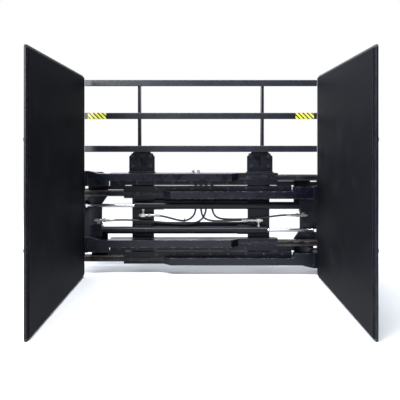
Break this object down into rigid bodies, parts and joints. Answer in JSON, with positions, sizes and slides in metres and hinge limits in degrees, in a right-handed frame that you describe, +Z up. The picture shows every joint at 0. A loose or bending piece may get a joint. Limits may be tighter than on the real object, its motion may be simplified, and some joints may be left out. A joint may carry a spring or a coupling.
{
  "type": "carton clamp lift truck attachment",
  "caption": "Hydraulic side-clamping attachment for a lift truck: two large rubber-faced pads on sliding arms, opposed cylinders, load backrest.",
  "frame": {"origin": "on the floor, under the middle of the whole attachment's box", "axes": "+X to the right as seen from the pads' open side, +Y towards the truck, +Z up"},
  "size_m": [1.6638, 1.221, 1.228],
  "materials": {
    "frame_paint": "semi-gloss black paint",
    "rail_paint": "satin black paint",
    "bar_steel": "black paint worn to greasy steel on the rails",
    "nylon": "smooth",
    "zinc": "zinc plated",
    "seal": "smooth",
    "block": "milled and anodised",
    "stripe": "printed yellow and black stripes",
    "tie": "matte",
    "hose": "smooth black cover",
    "chrome": "hard chrome, polished",
    "piston": "turned",
    "pin_steel": "ground",
    "rubber": "finely textured",
    "bronze": "turned"
  },
  "bodies": {
    "frame": {"channel_1": "frame_paint", "channel_2": "frame_paint", "channel_3": "frame_paint", "channel_4": "frame_paint", "slide_bearings": "nylon", "bearing_screws": "zinc", "upright_left": "frame_paint", "upright_right": "frame_paint", "cross_bars": "frame_paint", "upper_hooks": "frame_paint", "lower_hooks": "frame_paint", "frame_bolts": "zinc", "backrest_lugs": "frame_paint", "backrest_post_left": "frame_paint", "backrest_post_right": "frame_paint", "backrest_rail_lower": "rail_paint", "backrest_rail_middle": "rail_paint", "backrest_rail_upper": "rail_paint", "hazard_plates": "stripe", "cylinder_saddles": "frame_paint", "barrel_upper": "frame_paint", "barrel_lower": "frame_paint", "glands": "frame_paint", "rod_seals": "seal", "base_caps": "frame_paint", "port_elbows": "zinc", "valve_block": "block", "relief_cartridge": "zinc", "inlet_adapters": "zinc", "hose_adapters": "zinc", "cable_tie": "tie", "hose_1": "hose", "hose_2": "hose", "hose_3": "hose", "hose_4": "hose"},
    "left_arm": {"slide_bar_left_upper": "bar_steel", "slide_bar_left_lower": "bar_steel", "arm_base_left": "frame_paint", "forward_arm_left": "frame_paint", "rod_left": "chrome", "piston_left": "piston", "pivot_pin_left": "pin_steel", "bumpers_left": "rubber"},
    "right_arm": {"slide_bar_right_upper": "bar_steel", "slide_bar_right_lower": "bar_steel", "arm_base_right": "frame_paint", "forward_arm_right": "frame_paint", "rod_right": "chrome", "piston_right": "piston", "pivot_pin_right": "pin_steel", "bumpers_right": "rubber"},
    "left_pad": {"pad_plate_left": "frame_paint", "pad_rubber_left": "rubber", "pad_spine_left": "frame_paint", "pad_bushes_left": "bronze"},
    "right_pad": {"pad_plate_right": "frame_paint", "pad_rubber_right": "rubber", "pad_spine_right": "frame_paint", "pad_bushes_right": "bronze"}
  },
  "joints": [
    {"name": "left_arm_slide", "type": "slide", "parent": "frame", "child": "left_arm", "axis": [-1, 0, 0], "range_m": [-0.12, 0.52]},
    {"name": "right_arm_slide", "type": "slide", "parent": "frame", "child": "right_arm", "axis": [1, 0, 0], "range_m": [-0.12, 0.52]},
    {"name": "left_pad_pivot", "type": "hinge", "parent": "left_arm", "child": "left_pad", "pos_m": [-0.794, -0.1005, 0.343], "axis": [0, 0, 1], "range_deg": [-3, 3]},
    {"name": "right_pad_pivot", "type": "hinge", "parent": "right_arm", "child": "right_pad", "pos_m": [0.794, -0.1005, 0.343], "axis": [0, 0, 1], "range_deg": [-3, 3]}
  ],
  "couplings": [
    {"joint": "right_arm_slide", "follows": "left_arm_slide", "ratio": 1}
  ]
}
